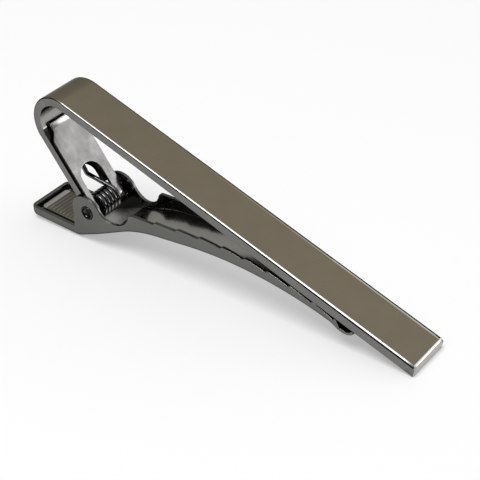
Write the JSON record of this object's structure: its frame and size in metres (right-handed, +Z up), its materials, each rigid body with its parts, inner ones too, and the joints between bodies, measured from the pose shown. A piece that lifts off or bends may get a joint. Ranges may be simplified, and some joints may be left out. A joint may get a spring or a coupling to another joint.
{
  "type": "tie clip",
  "caption": "Slim tie clip: a flat front bar looped back to a sprung, toothed jaw with a ribbed thumb pad, for holding a tie to a shirt front.",
  "frame": {"origin": "centre of the closed clip's box in X and Y, at the table that it lies on", "axes": "+X towards the bar's free tip, +Z up, Y across the bar, with the hinge's axis along +Y"},
  "size_m": [0.0594, 0.008, 0.0199],
  "materials": {
    "bar_metal": "satin gunmetal plating",
    "bracket_metal": "bright plating",
    "pin_metal": "gunmetal plating",
    "jaw_metal": "gunmetal plating",
    "spring_wire": "bright hard-drawn wire, dark"
  },
  "bodies": {
    "clip": {"front_bar": "bar_metal", "hinge_bracket": "bracket_metal", "hinge_pin": "pin_metal", "torsion_spring": "spring_wire"},
    "jaw": {"jaw_lever": "jaw_metal"}
  },
  "joints": [
    {"name": "jaw_opening", "type": "hinge", "parent": "clip", "child": "jaw", "pos_m": [-0.01886, 0, 0.00455], "axis": [0, 1, 0], "range_deg": [0, 60], "stiffness_Nm_per_rad": 0.02, "springref_deg": -57.3, "deforming": ["torsion_spring"]}
  ]
}
